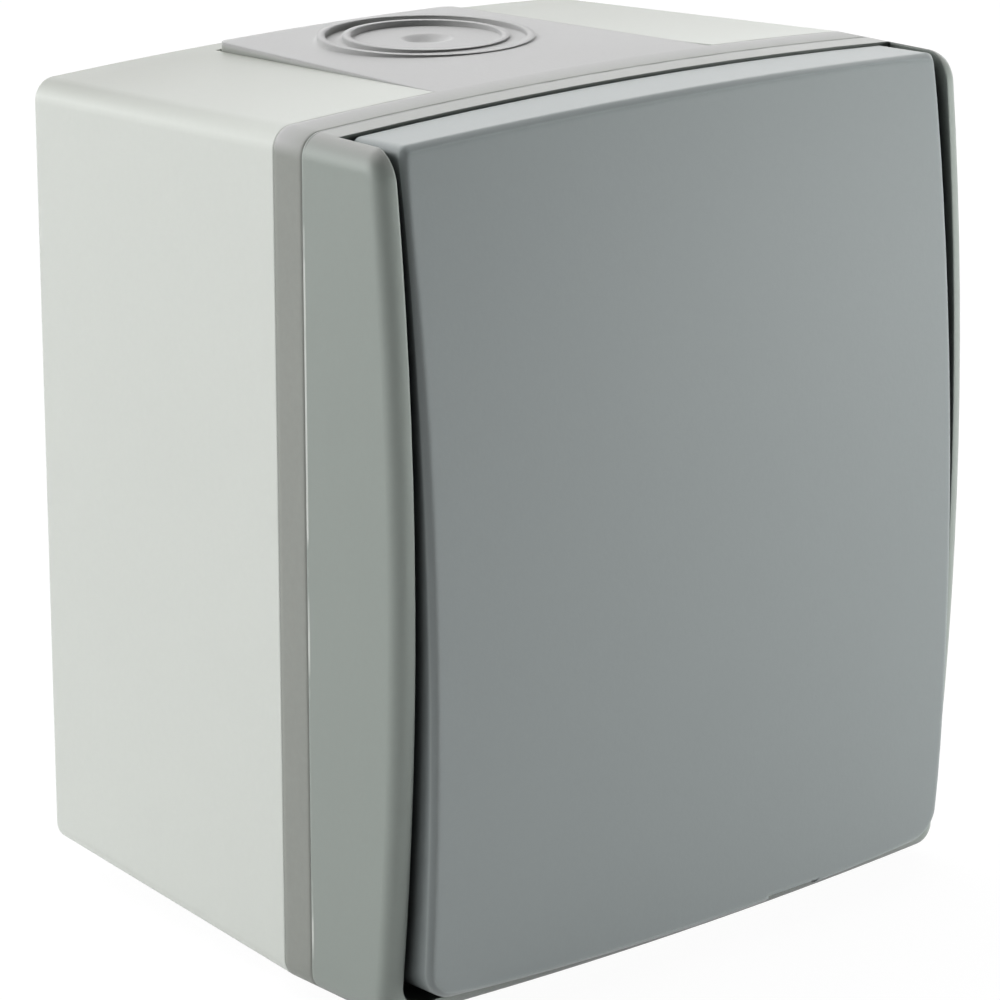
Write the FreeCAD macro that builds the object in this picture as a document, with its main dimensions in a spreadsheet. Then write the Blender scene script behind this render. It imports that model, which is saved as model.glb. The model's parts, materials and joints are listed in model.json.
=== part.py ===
import FreeCAD, Part
import math
import os
import re
import Sketcher
from FreeCAD import Placement, Rotation, Vector

# Outdoor weatherproof rocker switch for surface mounting, in millimetres.
# X runs to the right as seen from the front, Y runs into the wall, Z runs up.
# The wall plane is Y = 0. "Depth" below is the distance in front of the wall, so depth = -Y.

doc = FreeCAD.newDocument("WeatherproofSwitch")

SIZES = {
    # outline shared by box, seal, cover and rocker
    "width": (66.5, "outside width at the parting line"),
    "height": (75.0, "outside height at the corners"),
    "crown": (1.0, "rise of the arched top and bottom edges"),
    "corner_radius": (2.0, "outline corner radius"),
    # box
    "base_depth": (36.4, "wall to the parting line"),
    "base_taper": (1.75, "draft per side from the parting line to the wall"),
    "wall": (2.2, "side wall of the box"),
    "rear_wall": (2.5, "rear wall of the box"),
    "tongue_rise": (2.8, "rim of the box inside the seal"),
    "post_inset": (8.25, "cover post axis from the outside"),
    "post_radius": (3.4, "cover posts"),
    "rest_post_radius": (3.0, "posts under the mechanism"),
    "wall_hole_spacing": (56.0, "wall fixing holes, centre to centre"),
    "wall_hole_radius": (3.25, "wall fixing holes"),
    "wall_boss_radius": (5.2, "ring round a wall fixing hole"),
    "wall_boss_rise": (1.4, "height of that ring"),
    "knockout_radius": (10.0, "knock-out in the bottom wall"),
    # seal and cable entry
    "seal_strip": (3.8, "visible strip between box and cover"),
    "seal_width": (1.1, "thickness of the strip ring"),
    "pad_half": (16.0, "half width of the entry pad at the parting line"),
    "pad_taper": (2.6, "loss of half width from the parting line to the wall"),
    "pad_back": (3.0, "rear end of the entry pad"),
    "pad_thickness": (1.2, "pad at the parting line"),
    "pad_drop": (0.95, "fall of the pad top to the wall"),
    "pad_corner": (1.2, "rear corners of the pad"),
    "plug_half": (12.9, "half width of the plug in the notch"),
    "plug_back": (6.0, "rear end of the plug"),
    "plug_drop": (4.0, "plug below the corner height"),
    "ring_depth": (16.0, "centre of the entry rings from the wall"),
    "ring_outer": (9.8, "outer ring radius"),
    "ring_inner": (7.5, "inner ring radius"),
    "ring_bead": (0.7, "width of a raised ring"),
    "ring_step": (0.3, "height of a raised ring"),
    "dimple_radius": (2.4, "centre dimple"),
    "dimple_deep": (0.6, "depth of the centre dimple"),
    "membrane_skin": (1.2, "skin that the cable pierces"),
    "fit_gap": (0.1, "gap between parts that are set together"),
    # cover
    "deck": (2.8, "plate of the cover"),
    "cheek_depth": (9.8, "cheek from the parting line to its front corner"),
    "cheek_wall": (1.7, "cheek thickness"),
    "lip_wall": (1.4, "bottom lip thickness"),
    "lip_corner": (2.2, "inner bottom corners of the cover"),
    "cheek_round": (1.5, "outer front edge of the cover"),
    "cheek_corner": (3.3, "upper front corner of a cheek"),
    "face_bulge": (2.3, "rise of the front over the height"),
    "side_bulge": (1.15, "rise of the rocker over the width"),
    "spigot_rise": (2.0, "rib behind the cover that centres it"),
    "spigot_wall": (1.4, "thickness of that rib"),
    "window_half_x": (15.0, "window in the cover plate"),
    "window_half_z": (14.0, "window in the cover plate"),
    # rocker
    "rocker_gap": (0.9, "gap from rocker to cheek"),
    "rocker_low_gap": (0.62, "gap from rocker to bottom lip"),
    "rocker_top_drop": (0.25, "rocker top below the cover top"),
    "rocker_proud": (0.9, "rocker in front of the cheek surface"),
    "rocker_rim": (1.8, "neutral gap from rocker rim to cover plate"),
    "rocker_face": (1.5, "front wall of the rocker at its sides"),
    "rocker_wall": (1.7, "side wall of the rocker"),
    "rocker_corner": (3.0, "lower corners of the rocker outline"),
    "rocker_top_corner": (0.9, "upper corners of the rocker outline"),
    "rocker_edge": (0.5, "broken front edge of the rocker"),
    "rocker_clear": (2.1, "gaiter to the plate behind the rocker"),
    "rocker_tilt": (2.0, "tilt of the rocker at either end"),
    "pry_left": (8.3, "pry notch, left end"),
    "pry_width": (6.3, "pry notch"),
    "pry_deep": (0.5, "pry notch"),
    "pivot_sink": (0.6, "rocker axis behind the front of the cover plate"),
    "pin_radius": (2.0, "cradle pins"),
    "run_gap": (0.05, "running clearance of the pins"),
    # rubber gaiter over the window
    "gaiter_flange": (3.5, "gaiter flange beyond the window"),
    "gaiter_skin": (0.9, "gaiter thickness"),
    "gaiter_rise": (3.8, "gaiter in front of the cover plate"),
    "gaiter_gap": (0.4, "gaiter to the moving neck"),
    # mechanism
    "flange_inset": (18.4, "parting line to the rear of the mechanism flange"),
    "flange_thick": (3.0, "mechanism flange"),
    "flange_margin": (0.4, "mechanism flange beyond the strips"),
    "flange_half_z": (21.5, "mechanism flange"),
    "block_half_x": (11.0, "contact chamber block"),
    "block_half_z": (19.0, "contact chamber block"),
    "block_rise": (19.0, "contact chamber block, from the rear of the flange"),
    "chamber_half_x": (7.0, "contact chamber"),
    "chamber_half_z": (16.0, "contact chamber"),
    "chamber_roof": (2.0, "front wall of the chamber"),
    "ear_thick": (2.0, "pivot ear"),
    "ear_half_z": (4.4, "pivot ear"),
    "head_gap": (0.3, "mechanism screw head to the block"),
    "mount_z": (17.5, "mechanism screw or post from the middle"),
    "lid_thick": (1.6, "mechanism lid"),
    "lid_gap": (0.2, "lid spigot to the strips"),
    # terminals and contacts
    "strip_thick": (1.2, "brass strips"),
    "strip_half": (3.0, "half width of a strip"),
    "clamp_gap": (0.7, "wire clamp to the block"),
    "terminal_z": (9.0, "output terminal screws from the middle"),
    "wire_room": (2.0, "room for a wire under a clamp"),
    "clamp_half": (2.9, "half width of a wire clamp"),
    "clamp_thick": (1.0, "wire clamp"),
    "fulcrum_radius": (0.85, "rounded top of the fulcrum"),
    "fulcrum_half": (2.4, "half length of the fulcrum"),
    "fulcrum_rise": (3.8, "lever axis in front of the strips"),
    "lever_thick": (1.2, "contact lever"),
    "lever_half": (3.4, "half width of the lever"),
    "lever_tab": (0.7, "tabs that straddle the fulcrum"),
    "lever_tilt": (6.0, "tilt of the lever at either end"),
    "contact_arm": (12.6, "contacts from the lever axis"),
    "contact_radius": (1.7, "contact rivets"),
    "contact_rise": (1.2, "height of a lever contact"),
    "contact_gap": (0.06, "closed contacts, left apart"),
    # cradle, plunger and spring
    "hub_side_gap": (0.4, "hub to a pivot ear"),
    "neck_half_x": (6.0, "neck through the gaiter"),
    "neck_half_z": (5.0, "neck through the gaiter"),
    "head_half_x": (9.0, "plate that carries the rocker"),
    "head_half_z": (11.0, "plate that carries the rocker"),
    "head_thick": (1.6, "plate that carries the rocker"),
    "tube_radius": (3.5, "plunger tube"),
    "tube_length": (10.9, "plunger tube, from the rocker axis"),
    "plunger_radius": (2.0, "plunger"),
    "plunger_gap": (0.2, "plunger in its tube"),
    "plunger_length": (7.6, "plunger"),
    "nose_flat": (1.0, "flat of the plunger nose, radius"),
    "nose_taper": (1.3, "length of the plunger nose"),
    "nose_gap": (0.4, "plunger nose to the lever"),
    "spring_wire": (0.5, "square wire of the spring"),
    "spring_gap": (0.15, "spring to the bore of its tube"),
    "spring_seat": (0.02, "free length of the spring at either end"),
    "spring_floor": (1.2, "end of the bore behind the rocker axis"),
    "spring_pitch": (1.1, "spring pitch"),
    # screws
    "cover_screw_radius": (1.75, "cover screw shank"),
    "cover_head_radius": (3.4, "cover screw head"),
    "cover_head": (2.0, "cover screw head height"),
    "cover_screw_reach": (14.0, "cover screw below its head"),
    "washer_thick": (0.8, "flat seals under the cover screws"),
    "washer_rim": (0.4, "cover screw head beyond its seal"),
    "small_screw_radius": (1.5, "mechanism and terminal screw shank"),
    "small_head_radius": (2.7, "mechanism and terminal screw head"),
    "small_head": (2.0, "mechanism and terminal screw head height"),
    "mount_screw_reach": (10.0, "mechanism screw below its head"),
    "slot_width": (0.8, "screwdriver slot"),
    "slot_deep": (1.1, "screwdriver slot"),
}

# Places that follow from the sizes.
PLACES = {
    "frame_back": "base_depth + seal_strip",
    "deck_front": "base_depth + seal_strip + deck",
    "corner_front": "base_depth + seal_strip + cheek_depth",
    "crown_radius": "(width^2/4 + crown^2)/(2*crown)",
    "face_radius": "(height^2/4 + face_bulge^2)/(2*face_bulge)",
    "plan_radius": "(width^2/4 + side_bulge^2)/(2*side_bulge)",
    "face_peak": "corner_front + face_bulge + side_bulge",
    "post_x": "width/2 - post_inset",
    "rim_depth": "deck_front + rocker_rim",
    "terminal_x": "block_half_x + clamp_gap + clamp_half",
    "mount_x": "block_half_x + head_gap + small_head_radius",
    "flange_half_x": "terminal_x + strip_half + flange_margin",
    "ear_inner": "block_half_x - ear_thick",
    "flange_back": "base_depth - flange_inset",
    "flange_front": "flange_back + flange_thick",
    "block_front": "flange_back + block_rise",
    "strip_front": "flange_front + strip_thick",
    "fulcrum_depth": "strip_front + fulcrum_rise",
    "lever_back": "fulcrum_depth + fulcrum_radius + run_gap",
    "lever_front": "lever_back + lever_thick",
    "contact_top": "fulcrum_depth - (contact_arm + contact_radius)*sin(lever_tilt)"
                   " + (lever_back - contact_rise - fulcrum_depth)*cos(lever_tilt) - contact_gap",
    "gaiter_front": "deck_front + gaiter_rise",
    "ear_front": "gaiter_front - gaiter_skin - gaiter_gap",
    "pivot_depth": "deck_front - pivot_sink",
    "hub_radius": "ear_front - pivot_depth",
    "tube_back": "pivot_depth - tube_length",
    "head_back": "gaiter_front + rocker_clear",
    "head_front": "head_back + head_thick",
    "bore_radius": "plunger_radius + plunger_gap",
    "plunger_tip": "lever_front + nose_gap",
    "plunger_top": "plunger_tip + plunger_length",
    "bore_end": "pivot_depth - spring_floor",
    "rocker_half": "width/2 - cheek_wall - rocker_gap",
    "rocker_top": "height/2 + crown - rocker_top_drop",
    "rocker_low": "height/2 + crown - lip_wall - rocker_low_gap",
}

sheet = doc.addObject("Spreadsheet::Sheet", "Sizes")
places = doc.addObject("Spreadsheet::Sheet", "Places")
spare = doc.addObject("Spreadsheet::Sheet", "Spare")
WORD = re.compile(r"[A-Za-z_][A-Za-z_0-9]*")


def link(text):
    """Point each size or place named in an expression at its cell."""
    def swap(match):
        name = match.group(0)
        if name in SIZES:
            return "Sizes." + name
        return "Places." + name if name in PLACES else name
    return WORD.sub(swap, str(text))


for row, (alias, (value, note)) in enumerate(SIZES.items(), 1):
    sheet.set("A%d" % row, note)
    sheet.set("B%d" % row, str(value))
    sheet.setAlias("B%d" % row, alias)
doc.recompute()
for row, (alias, formula) in enumerate(PLACES.items(), 1):
    places.setAlias("B%d" % row, alias)
    places.set("B%d" % row, "=" + link(formula))
doc.recompute()


def number(text):
    """Value of an expression, worked out in a spare sheet that nothing depends on."""
    spare.set("A1", "=" + link(text))
    spare.recompute()
    return float(spare.get("A1"))


def bind(obj, prop, text):
    obj.setExpression(prop, link(text))


def new_body(label):
    body = doc.addObject("PartDesign::Body", label)
    body.Label = label
    return body


def new_sketch(body, name, plane="XZ_Plane", depth="0"):
    """Sketch on an origin plane of its own body. On XZ_Plane the offset is the depth."""
    sk = body.newObject("Sketcher::SketchObject", name)
    origin = next(f for f in body.Origin.OriginFeatures if f.Role == plane)
    sk.AttachmentSupport = [(origin, "")]
    sk.MapMode = "FlatFace"
    bind(sk, "AttachmentOffset.Base.z", depth)
    return sk


def tie(sk, kind, refs, text):
    i = sk.addConstraint(Sketcher.Constraint(kind, *refs, number(text)))
    bind(sk, "Constraints[%d]" % i, text)


def draw_loop(sk, points, arcs=None):
    """Closed outline through points given as expressions.

    arcs maps the number of an edge to its radius; the edge bulges to the right of its direction.
    """
    arcs = arcs or {}
    at = [Vector(number(x), number(y), 0) for x, y in points]
    first, count = sk.GeometryCount, len(at)
    for i in range(count):
        p, q = at[i], at[(i + 1) % count]
        if i in arcs:
            radius, chord = number(arcs[i]), q - p
            rise = radius - math.sqrt(radius**2 - (chord.Length / 2)**2)
            side = Vector(chord.y, -chord.x, 0).normalize()
            sk.addGeometry(Part.Arc(p, (p + q) * 0.5 + side * rise, q), False)
        else:
            sk.addGeometry(Part.LineSegment(p, q), False)
    def end(edge, point):
        one = sk.getPoint(first + edge, 1).distanceToPoint(point)
        return 1 if one < sk.getPoint(first + edge, 2).distanceToPoint(point) else 2
    for i in range(count):
        before = (i - 1) % count
        sk.addConstraint(Sketcher.Constraint(
            "Coincident", first + before, end(before, at[i]), first + i, end(i, at[i])))
        tie(sk, "DistanceX", (-1, 1, first + i, end(i, at[i])), points[i][0])
        tie(sk, "DistanceY", (-1, 1, first + i, end(i, at[i])), points[i][1])
    for i, radius in arcs.items():
        tie(sk, "Radius", (first + i,), radius)


def draw_box(sk, x0, x1, y0, y1):
    draw_loop(sk, [(x0, y0), (x1, y0), (x1, y1), (x0, y1)])


def draw_circle(sk, x, y, radius):
    i = sk.addGeometry(Part.Circle(Vector(number(x), number(y), 0), Vector(0, 0, 1), number(radius)))
    tie(sk, "DistanceX", (-1, 1, i, 3), x)
    tie(sk, "DistanceY", (-1, 1, i, 3), y)
    tie(sk, "Radius", (i,), radius)


def draw_crowned(sk, half, top, low=None, corner=None, top_corner=None):
    """Outline with straight sides and arched ends. top and low are the heights at the sides."""
    low = low or top
    top_corner = top_corner or corner
    if corner is None:
        draw_loop(sk, [("-(%s)" % half, "-(%s)" % low), (half, "-(%s)" % low),
                       (half, top), ("-(%s)" % half, top)],
                  {0: "crown_radius", 2: "crown_radius"})
        return
    points = []
    for x_sign, z_sign, level, turn in (("-", "-", low, corner), ("", "-", low, corner),
                                        ("", "", top, top_corner), ("-", "", top, top_corner)):
        grow = "crown_radius/(crown_radius - (%s))" % turn
        middle = "((%s) - sqrt(crown_radius^2 - (%s)^2))" % (level, half)
        lift = "sqrt((crown_radius - (%s))^2 - ((%s) - (%s))^2)" % (turn, half, turn)
        side = ("%s(%s)" % (x_sign, half), "%s(%s + %s)" % (z_sign, middle, lift))
        end = ("%s(((%s) - (%s))*%s)" % (x_sign, half, turn, grow),
               "%s(%s + %s*%s)" % (z_sign, middle, lift, grow))
        points += [side, end] if x_sign == z_sign else [end, side]
    draw_loop(sk, points, {0: corner, 1: "crown_radius", 2: corner,
                           4: top_corner, 5: "crown_radius", 6: top_corner})


def pad(body, name, sk, length, back=False, middle=False):
    feat = body.newObject("PartDesign::Pad", name)
    feat.Profile = sk
    bind(feat, "Length", length)
    feat.Reversed = back
    if middle:
        feat.SideType = "Symmetric"
    doc.recompute()
    return feat


def pocket(body, name, sk, length=None, front=False, middle=False):
    """Cut from the sketch towards the wall, or to the front, or both ways."""
    before = body.Shape.Volume
    feat = body.newObject("PartDesign::Pocket", name)
    feat.Profile = sk
    if length is None:
        feat.Type = "ThroughAll"
    else:
        bind(feat, "Length", length)
    feat.Reversed = front
    if middle:
        feat.SideType = "Symmetric"
    doc.recompute()
    if not body.Shape.Volume < before - 1e-3:
        raise RuntimeError(name + " cut nothing")
    return feat


def loft(body, name, kind, first, second):
    feat = body.newObject("PartDesign::" + kind, name)
    feat.Profile = first
    feat.Sections = [second]
    feat.Ruled = True
    doc.recompute()
    return feat


def dress_edges(body, name, kind, prop, size, wanted):
    """Fillet or chamfer the edges of the body whose middle point and direction pass the test."""
    base = body.Tip
    names = []
    for i, edge in enumerate(base.Shape.Edges, 1):
        a, b = edge.ParameterRange
        if wanted(edge.valueAt((a + b) / 2), edge.tangentAt((a + b) / 2), edge):
            names.append("Edge%d" % i)
    if not names:
        raise RuntimeError(name + " found no edge")
    feat = body.newObject("PartDesign::" + kind, name)
    feat.Base = (base, names)
    feat.Refine = False
    bind(feat, prop, size)
    doc.recompute()
    if "Invalid" in feat.State:
        raise RuntimeError("%s: %s" % (name, feat.getStatusString()))
    return feat


def round_edges(body, name, radius, wanted):
    return dress_edges(body, name, "Fillet", "Radius", radius, wanted)


def break_edges(body, name, size, wanted):
    return dress_edges(body, name, "Chamfer", "Size", size, wanted)


def draw_side_arc(sk, peak):
    """What lies in front of the arched front, seen from the side. peak is its greatest depth."""
    reach = "height*0.62"
    end_y = "face_radius - (%s) - sqrt(face_radius^2 - (%s)^2)" % (peak, reach)
    far = "-(%s) - 12" % peak
    draw_loop(sk, [(end_y, reach), (end_y, "-(%s)" % reach), (far, "-(%s)" % reach), (far, reach)],
              {0: "face_radius"})


def spin_cut(body, name, sk, axis_y, angle):
    """Cut what a side sketch sweeps about an upright axis."""
    before = body.Shape.Volume
    i = sk.addGeometry(Part.LineSegment(Vector(number(axis_y), -20, 0), Vector(number(axis_y), 20, 0)), True)
    for point, height in ((1, "-20"), (2, "20")):
        tie(sk, "DistanceX", (-1, 1, i, point), axis_y)
        tie(sk, "DistanceY", (-1, 1, i, point), height)
    doc.recompute()
    feat = body.newObject("PartDesign::Groove", name)
    feat.Profile = sk
    feat.ReferenceAxis = (sk, ["Axis0"])
    feat.Angle = angle
    feat.Midplane = True
    doc.recompute()
    if not body.Shape.Volume < before - 1e-3:
        raise RuntimeError(name + " cut nothing")
    return feat


def curve_front(body, name, offset="0"):
    """Cut the doubly curved front: a side arc swept about an upright axis behind the wall."""
    sk = new_sketch(body, name + "_sketch", "YZ_Plane")
    peak = "face_peak + (%s)" % offset
    draw_side_arc(sk, peak)
    return spin_cut(body, name, sk, "plan_radius - (%s)" % peak, 30.0)


def rod(name, x, z, depth, length, radius):
    """Cylinder that starts at a depth and runs to the front."""
    c = doc.addObject("Part::Cylinder", name)
    c.Placement = Placement(Vector(0, 0, 0), Rotation(Vector(1, 0, 0), 90))
    bind(c, "Placement.Base.x", x)
    bind(c, "Placement.Base.y", "-(%s)" % depth)
    bind(c, "Placement.Base.z", z)
    bind(c, "Height", length)
    bind(c, "Radius", radius)
    return c


def block(name, x, z, depth, size_x, size_z, length):
    """Box centred on x and z that starts at a depth and runs to the front."""
    b = doc.addObject("Part::Box", name)
    bind(b, "Length", size_x)
    bind(b, "Width", length)
    bind(b, "Height", size_z)
    bind(b, "Placement.Base.x", "(%s) - (%s)/2" % (x, size_x))
    bind(b, "Placement.Base.y", "-(%s) - (%s)" % (depth, length))
    bind(b, "Placement.Base.z", "(%s) - (%s)/2" % (z, size_z))
    return b


def fuse(name, pieces):
    f = doc.addObject("Part::MultiFuse", name)
    f.Shapes = pieces
    return f


def cut(name, base, tool):
    c = doc.addObject("Part::Cut", name)
    c.Base, c.Tool = base, tool
    return c


def group(label, pieces):
    g = doc.addObject("Part::Compound", label)
    g.Links = pieces
    g.Label = label
    return g


def screw(name, x, z, seat, reach, shank, head, head_radius):
    """Slotted pan-head screw. seat is the depth of the underside of the head."""
    body = fuse(name + "_blank", [
        rod(name + "_shank", x, z, "(%s) - (%s)" % (seat, reach), "(%s) + 0.2" % reach, shank),
        rod(name + "_head", x, z, seat, head, head_radius)])
    slot = block(name + "_slot", x, z, "(%s) + (%s) - slot_deep" % (seat, head),
                 "2*(%s) + 2" % head_radius, "slot_width", "slot_deep + 1")
    return cut(name, body, slot)


def turn_about(obj, depth, angle):
    """Set an object down turned about the X direction at a depth."""
    obj.Placement = Placement(Vector(0, 0, 0), Rotation(Vector(1, 0, 0), angle), Vector(0, -depth, 0))


made = []

# Box
base = new_body("base_box")
made.append(base)
sk_front = new_sketch(base, "base_front", depth="base_depth")
draw_crowned(sk_front, "width/2", "height/2", corner="corner_radius")
sk_back = new_sketch(base, "base_back")
draw_crowned(sk_back, "width/2 - base_taper", "height/2 - base_taper", corner="corner_radius")
doc.recompute()
loft(base, "base_form", "AdditiveLoft", sk_front, sk_back)
inner_shift = "wall + base_taper*(1 - rear_wall/base_depth)"
sk_in_front = new_sketch(base, "base_inner_front", depth="base_depth")
draw_crowned(sk_in_front, "width/2 - wall", "height/2 - wall")
sk_in_back = new_sketch(base, "base_inner_back", depth="rear_wall")
draw_crowned(sk_in_back, "width/2 - (%s)" % inner_shift, "height/2 - (%s)" % inner_shift)
doc.recompute()
loft(base, "base_inside", "SubtractiveLoft", sk_in_front, sk_in_back)
sk = new_sketch(base, "base_tongue_sketch", depth="base_depth")
draw_crowned(sk, "width/2 - seal_width - fit_gap", "height/2 - seal_width - fit_gap")
draw_crowned(sk, "width/2 - wall", "height/2 - wall")
pad(base, "base_tongue", sk, "tongue_rise")
sk = new_sketch(base, "base_posts_sketch", depth="rear_wall - 1")
for x in ("post_x", "-post_x"):
    draw_circle(sk, x, "0", "post_radius")
pad(base, "base_posts", sk, "frame_back - rear_wall + 1")
sk = new_sketch(base, "base_rests_sketch", depth="rear_wall - 1")
for x in ("mount_x", "-mount_x"):
    for z in ("mount_z", "-mount_z"):
        draw_circle(sk, x, z, "rest_post_radius")
pad(base, "base_rests", sk, "flange_back - rear_wall + 1")
sk = new_sketch(base, "base_bosses_sketch", depth="rear_wall - 1")
for z in ("wall_hole_spacing/2", "-wall_hole_spacing/2"):
    draw_circle(sk, "0", z, "wall_boss_radius")
pad(base, "base_bosses", sk, "wall_boss_rise + 1")
sk = new_sketch(base, "base_wall_holes_sketch", depth="rear_wall + wall_boss_rise + 1")
for z in ("wall_hole_spacing/2", "-wall_hole_spacing/2"):
    draw_circle(sk, "0", z, "wall_hole_radius")
pocket(base, "base_wall_holes", sk)
sk = new_sketch(base, "base_cover_bores_sketch", depth="frame_back")
for x in ("post_x", "-post_x"):
    draw_circle(sk, x, "0", "cover_screw_radius + run_gap")
pocket(base, "base_cover_bores", sk, "cover_screw_reach - deck + 1.5")
sk = new_sketch(base, "base_mount_bores_sketch", depth="flange_back")
draw_circle(sk, "-mount_x", "mount_z", "small_screw_radius + run_gap")
draw_circle(sk, "mount_x", "-mount_z", "small_screw_radius + run_gap")
pocket(base, "base_mount_bores", sk, "mount_screw_reach - flange_thick + 1.5")

# Seat for the entry pad and the notch for its plug, in the top wall of the box
edge_rise = "height/2 + crown - crown_radius + sqrt(crown_radius^2 - (%s)^2)"
fall = "base_taper*(base_depth - (%s))/base_depth"
pad_edge = "pad_half - pad_taper*(base_depth - (%s))/base_depth"
seat_back = "pad_back - fit_gap"


def draw_pad_section(sk, half, fall_top, fall_low, low_gap="0", over=None):
    """Section of the entry pad: arched top and bottom. over lifts the top clear for a cut."""
    low = "%s - pad_thickness - (%s) - (%s)" % (edge_rise % half, fall_low, low_gap)
    if over is None:
        top = "%s - 0.03 - (%s)" % (edge_rise % half, fall_top)
        draw_loop(sk, [("-(%s)" % half, low), (half, low), (half, top), ("-(%s)" % half, top)],
                  {2: "crown_radius"})
    else:
        draw_loop(sk, [("-(%s)" % half, low), (half, low), (half, over), ("-(%s)" % half, over)])


sk_a = new_sketch(base, "base_seat_front", depth="base_depth + tongue_rise + 1")
seat_front = "base_depth + tongue_rise + 1"
draw_pad_section(sk_a, pad_edge % seat_front + " + fit_gap", "0", fall % seat_front, "0", "height/2 + 8")
sk_b = new_sketch(base, "base_seat_back", depth=seat_back)
draw_pad_section(sk_b, pad_edge % seat_back + " + fit_gap", "0", fall % seat_back, "0", "height/2 + 8")
doc.recompute()
before = base.Shape.Volume
loft(base, "base_seat", "SubtractiveLoft", sk_a, sk_b)
if not base.Shape.Volume < before - 10:
    raise RuntimeError("base_seat cut nothing")
sk = new_sketch(base, "base_notch_sketch", depth="plug_back - fit_gap")
draw_box(sk, "-plug_half - fit_gap", "plug_half + fit_gap", "height/2 - wall - base_taper - 4", "height/2 + 8")
pocket(base, "base_notch", sk, front=True)
sk = new_sketch(base, "base_knockout_sketch", "XY_Plane", "-height/2 - crown - 1")
draw_circle(sk, "0", "-base_depth/2", "knockout_radius")
draw_circle(sk, "0", "-base_depth/2", "knockout_radius - 0.9")
pocket(base, "base_knockout", sk, "1 + crown + base_taper*0.5 + 0.55 - crown*0.4", front=True)

# Seal strip with the cable entry pad and its plug, one soft moulding
seal = new_body("entry_seal")
made.append(seal)
sk = new_sketch(seal, "seal_ring_sketch", depth="base_depth")
draw_crowned(sk, "width/2", "height/2", corner="corner_radius")
draw_crowned(sk, "width/2 - seal_width", "height/2 - seal_width")
pad(seal, "seal_ring", sk, "seal_strip")
sk_a = new_sketch(seal, "seal_pad_front", depth="base_depth + seal_strip/2")
draw_pad_section(sk_a, pad_edge % "base_depth + seal_strip/2", "0", fall % "base_depth + seal_strip/2")
sk_b = new_sketch(seal, "seal_pad_back", depth="pad_back")
draw_pad_section(sk_b, pad_edge % "pad_back", "pad_drop*(base_depth - pad_back)/base_depth", fall % "pad_back")
doc.recompute()
loft(seal, "seal_pad", "AdditiveLoft", sk_a, sk_b)
round_edges(seal, "seal_pad_corners", "pad_corner",
            lambda p, t, e: abs(t.z) > 0.9 and p.y > -number("pad_back") - 0.5)
sk = new_sketch(seal, "seal_plug_sketch", depth="plug_back")
draw_box(sk, "-plug_half", "plug_half", "height/2 - plug_drop",
         "height/2 - base_taper + 0.2")
pad(seal, "seal_plug", sk, "base_depth + seal_strip - plug_back")
pad_top = "height/2 + crown - pad_drop*(base_depth - ring_depth)/base_depth"
sk = new_sketch(seal, "seal_rings_sketch", "XY_Plane", pad_top + " - 1")
for radius in ("ring_outer", "ring_inner"):
    draw_circle(sk, "0", "-ring_depth", radius)
    draw_circle(sk, "0", "-ring_depth", radius + " - ring_bead")
pad(seal, "seal_rings", sk, "1 + ring_step")
sk = new_sketch(seal, "seal_hollow_sketch", "XY_Plane", pad_top + " - membrane_skin")
draw_circle(sk, "0", "-ring_depth", "ring_inner - ring_bead")
pocket(seal, "seal_hollow", sk)
sk = new_sketch(seal, "seal_dimple_sketch", "YZ_Plane")
low, high = pad_top + " - dimple_deep", pad_top + " + 0.3"
draw_loop(sk, [("-ring_depth", low), ("-ring_depth + dimple_radius*0.45", low),
               ("-ring_depth + dimple_radius", pad_top), ("-ring_depth + dimple_radius", high),
               ("-ring_depth", high)])
spin_cut(seal, "seal_dimple", sk, "-ring_depth", 360.0)

# Cover with cheeks, bottom lip and cut-back top
frame = new_body("cover_frame")
made.append(frame)
sk = new_sketch(frame, "frame_outline", depth="frame_back")
draw_crowned(sk, "width/2", "height/2", corner="corner_radius")
pad(frame, "frame_form", sk, "cheek_depth + face_bulge + side_bulge + 3")
sk = new_sketch(frame, "frame_front_sketch", "YZ_Plane")
draw_side_arc(sk, "corner_front + face_bulge")
pocket(frame, "frame_front", sk, "width + 20", middle=True)
# upper front corner of the cheeks, round in side view
mid = "(face_radius - corner_front - face_bulge)"
inner = "(face_radius - cheek_corner)"
level = "(height/2 + 0.3 - cheek_corner)"
turn_y = "%s - sqrt(%s^2 - %s^2)" % (mid, inner, level)
meet_y = "%s - sqrt(%s^2 - %s^2)*face_radius/%s" % (mid, inner, level, inner)
meet_z = "%s*face_radius/%s" % (level, inner)
sk = new_sketch(frame, "frame_cheek_sketch", "YZ_Plane")
draw_loop(sk, [(turn_y, "height/2 + 0.3"), (meet_y, meet_z), ("-face_peak - 6", meet_z),
               ("-face_peak - 6", "height/2 + 6"), (turn_y, "height/2 + 6")], {0: "cheek_corner"})
pocket(frame, "frame_cheek_corner", sk, "width + 20", middle=True)
round_edges(frame, "frame_front_edge", "cheek_round",
            lambda p, t, e: abs(p.y) > number("corner_front") - 1 and abs(t.y) < 0.9)
sk = new_sketch(frame, "frame_opening_sketch", depth="deck_front")
half_in = "width/2 - cheek_wall"
low_in = edge_rise % half_in
draw_loop(sk, [("-(%s)" % half_in, "-(%s) + lip_wall" % low_in), (half_in, "-(%s) + lip_wall" % low_in),
               (half_in, "height/2 + 6"), ("-(%s)" % half_in, "height/2 + 6")], {0: "crown_radius"})
pocket(frame, "frame_opening", sk, front=True)
round_edges(frame, "frame_inner_corners", "lip_corner",
            lambda p, t, e: (abs(t.y) > 0.9 and p.z < 0 and abs(abs(p.x) - number(half_in)) < 0.01))
sk = new_sketch(frame, "frame_window_sketch", depth="deck_front")
draw_box(sk, "-window_half_x", "window_half_x", "-window_half_z", "window_half_z")
pocket(frame, "frame_window", sk)
sk = new_sketch(frame, "frame_spigot_sketch", depth="frame_back")
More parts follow.
